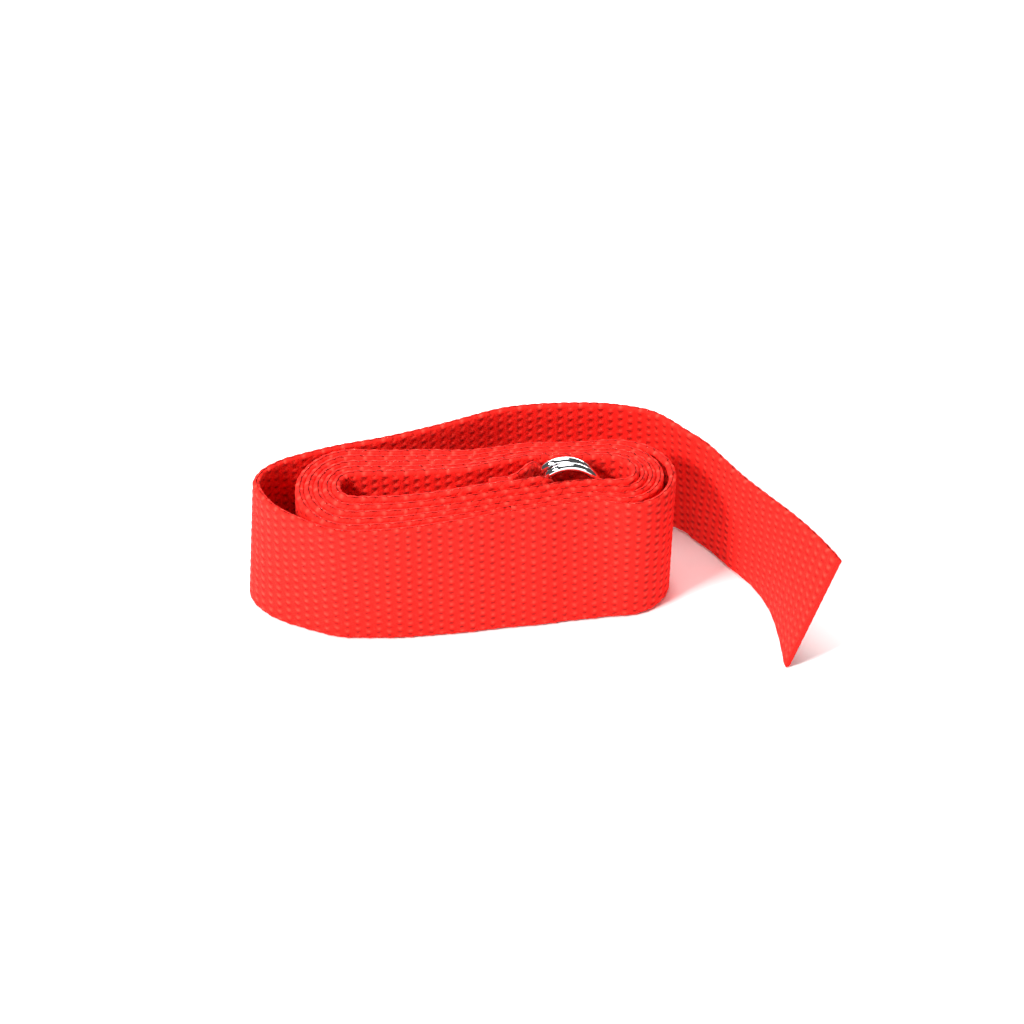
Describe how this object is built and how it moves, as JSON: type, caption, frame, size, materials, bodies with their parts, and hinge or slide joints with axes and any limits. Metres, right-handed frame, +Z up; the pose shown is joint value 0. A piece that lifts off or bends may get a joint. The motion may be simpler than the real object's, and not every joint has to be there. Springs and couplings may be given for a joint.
{
  "type": "gait belt",
  "caption": "Gait belt: a woven webbing strap wound on edge into an oblong roll, with metal D-rings sewn into its inner end and a free cut tail.",
  "frame": {"origin": "under the middle of the whole belt's box, on the surface that the roll stands on", "axes": "+X along the roll from its empty end to the rings' end and the tail, +Y towards the back of the roll, +Z up across the webbing's width"},
  "size_m": [0.1486, 0.061, 0.0428],
  "materials": {
    "webbing": "ribbed woven webbing, matte",
    "ring_steel": "polished plated wire",
    "thread": "sewing thread"
  },
  "bodies": {
    "roll": {"webbing_coil": "webbing", "sewn_fold": "webbing", "outer_wrap": "webbing", "seam_thread": "thread"},
    "ring_back": {"d_ring_back": "ring_steel"},
    "ring_front": {"d_ring_front": "ring_steel"},
    "free_tail": {"tail": "webbing"}
  },
  "joints": [
    {"name": "ring_back_swing", "type": "hinge", "parent": "roll", "child": "ring_back", "pos_m": [-0.00096, 0.00139, 0.0214], "axis": [0, 0, 1], "range_deg": [0, 5]},
    {"name": "ring_front_swing", "type": "hinge", "parent": "roll", "child": "ring_front", "pos_m": [0.00014, -0.00091, 0.0214], "axis": [0, 0, 1], "range_deg": [-1.2, 0]},
    {"name": "tail_swing", "type": "hinge", "parent": "roll", "child": "free_tail", "pos_m": [0.03796, 0.02039, 0.019], "axis": [0, 0, 1], "range_deg": [-30, 40]}
  ]
}
